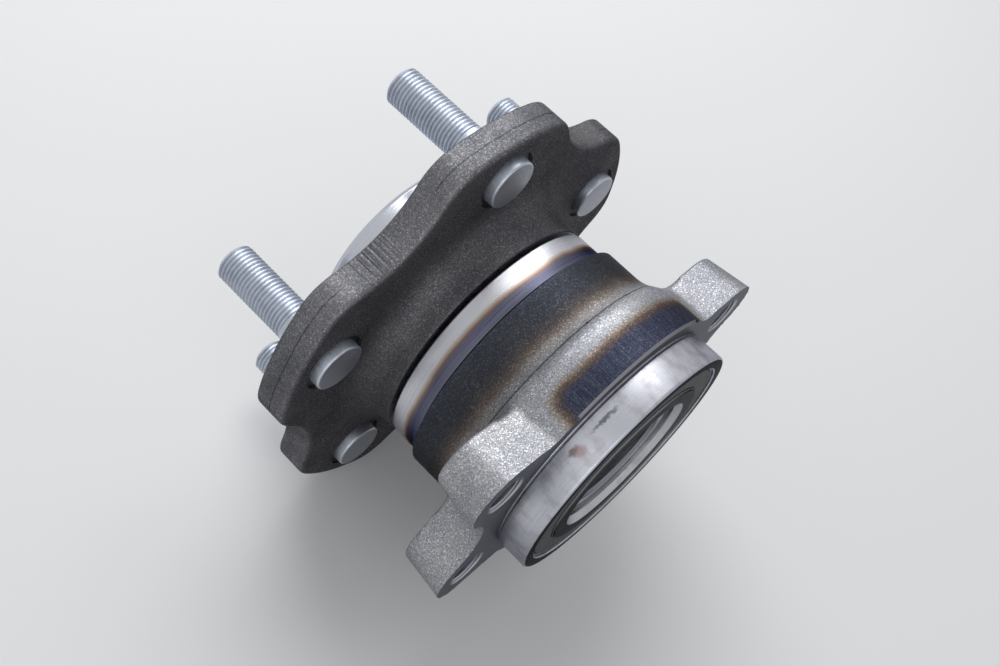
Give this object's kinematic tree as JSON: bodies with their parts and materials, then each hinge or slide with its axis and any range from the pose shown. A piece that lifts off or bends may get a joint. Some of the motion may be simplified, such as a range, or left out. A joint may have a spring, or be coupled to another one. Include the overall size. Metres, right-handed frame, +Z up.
{
  "type": "wheel hub bearing",
  "caption": "Driven wheel hub unit: a studded wheel flange and splined spindle turning on two rows of balls in a ring with an eared knuckle flange.",
  "frame": {"origin": "on the axis, at the wheel flange's outboard face, where the wheel or brake disc seats", "axes": "+Y along the axis, out to the wheel; +Z up, half way between the two upper knuckle ears; +X completes the frame"},
  "size_m": [0.1414, 0.1118, 0.1373],
  "materials": {
    "outer_forging": "grit-blasted forging with ground seal band and spigot, heat tinted",
    "hub_forging": "grit-blasted forging with a machined pilot",
    "stud_plating": "zinc plated",
    "race_steel": "ground bearing steel",
    "cage_plastic": "glass-filled nylon",
    "seal_steel": "pressed stainless sheet",
    "seal_rubber": "moulded nitrile",
    "encoder_rubber": "magnetised rubber, satin"
  },
  "bodies": {
    "outer": {"outer_ring": "outer_forging", "outboard_seal_case": "seal_steel", "outboard_seal_lip": "seal_rubber", "inboard_seal_case": "seal_steel", "inboard_seal_lip": "seal_rubber"},
    "rotating_hub": {"hub": "hub_forging", "inner_ring": "race_steel", "slinger": "seal_steel", "encoder_ring": "encoder_rubber", "wheel_stud_1": "stud_plating", "wheel_stud_2": "stud_plating", "wheel_stud_3": "stud_plating", "wheel_stud_4": "stud_plating", "wheel_stud_5": "stud_plating"},
    "outboard_ball_set": {"outboard_cage": "cage_plastic", "outboard_ball_01": "race_steel", "outboard_ball_02": "race_steel", "outboard_ball_03": "race_steel", "outboard_ball_04": "race_steel", "outboard_ball_05": "race_steel", "outboard_ball_06": "race_steel", "outboard_ball_07": "race_steel", "outboard_ball_08": "race_steel", "outboard_ball_09": "race_steel", "outboard_ball_10": "race_steel", "outboard_ball_11": "race_steel", "outboard_ball_12": "race_steel", "outboard_ball_13": "race_steel", "outboard_ball_14": "race_steel"},
    "inboard_ball_set": {"inboard_cage": "cage_plastic", "inboard_ball_01": "race_steel", "inboard_ball_02": "race_steel", "inboard_ball_03": "race_steel", "inboard_ball_04": "race_steel", "inboard_ball_05": "race_steel", "inboard_ball_06": "race_steel", "inboard_ball_07": "race_steel", "inboard_ball_08": "race_steel", "inboard_ball_09": "race_steel", "inboard_ball_10": "race_steel", "inboard_ball_11": "race_steel", "inboard_ball_12": "race_steel", "inboard_ball_13": "race_steel", "inboard_ball_14": "race_steel"}
  },
  "joints": [
    {"name": "hub_spin", "type": "hinge", "parent": "outer", "child": "rotating_hub", "pos_m": [0, 0, 0], "axis": [0, 1, 0], "continuous": true},
    {"name": "outboard_row_orbit", "type": "hinge", "parent": "outer", "child": "outboard_ball_set", "pos_m": [0, 0, 0], "axis": [0, 1, 0], "continuous": true},
    {"name": "inboard_row_orbit", "type": "hinge", "parent": "outer", "child": "inboard_ball_set", "pos_m": [0, 0, 0], "axis": [0, 1, 0], "continuous": true}
  ],
  "couplings": [
    {"joint": "outboard_row_orbit", "follows": "hub_spin", "ratio": 0.4272},
    {"joint": "inboard_row_orbit", "follows": "hub_spin", "ratio": 0.4272}
  ]
}
